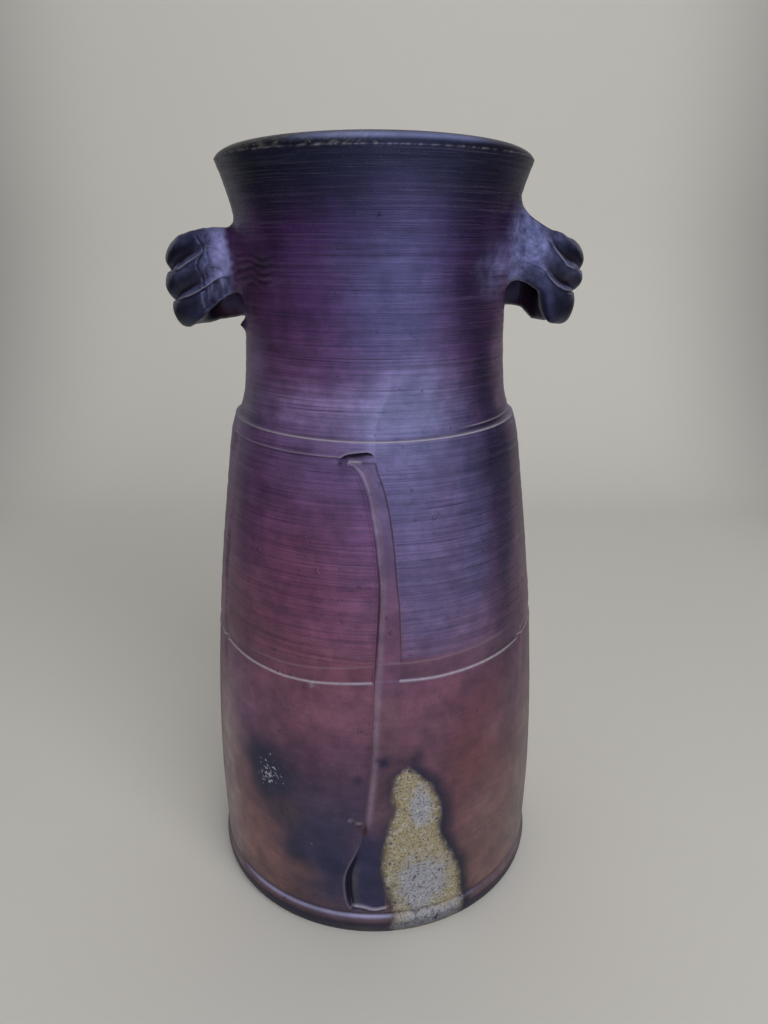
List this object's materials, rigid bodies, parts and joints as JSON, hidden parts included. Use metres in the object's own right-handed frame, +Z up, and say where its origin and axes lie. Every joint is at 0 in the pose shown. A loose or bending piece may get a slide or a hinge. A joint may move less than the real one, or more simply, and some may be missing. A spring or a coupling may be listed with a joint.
{
  "type": "stoneware vase",
  "caption": "Tall thrown stoneware flower vase with a flared bevelled rim, two looped strap ears, cut lines, spatula strokes and a beaded foot.",
  "frame": {"origin": "centre of the flat underside of the foot", "axes": "+Z up along the axis that the vase was thrown on, -Y towards the front with the long spatula stroke, +X through the right ear"},
  "size_m": [0.134, 0.119, 0.2485],
  "materials": {
    "fired_clay": "Unglazed stoneware with a natural wood-ash sheen: dark plum and navy, red-brown low down, worn pale on the cut lines, with one pale speckled ash patch"
  },
  "bodies": {
    "root": {"vase": "fired_clay"}
  },
  "joints": []
}
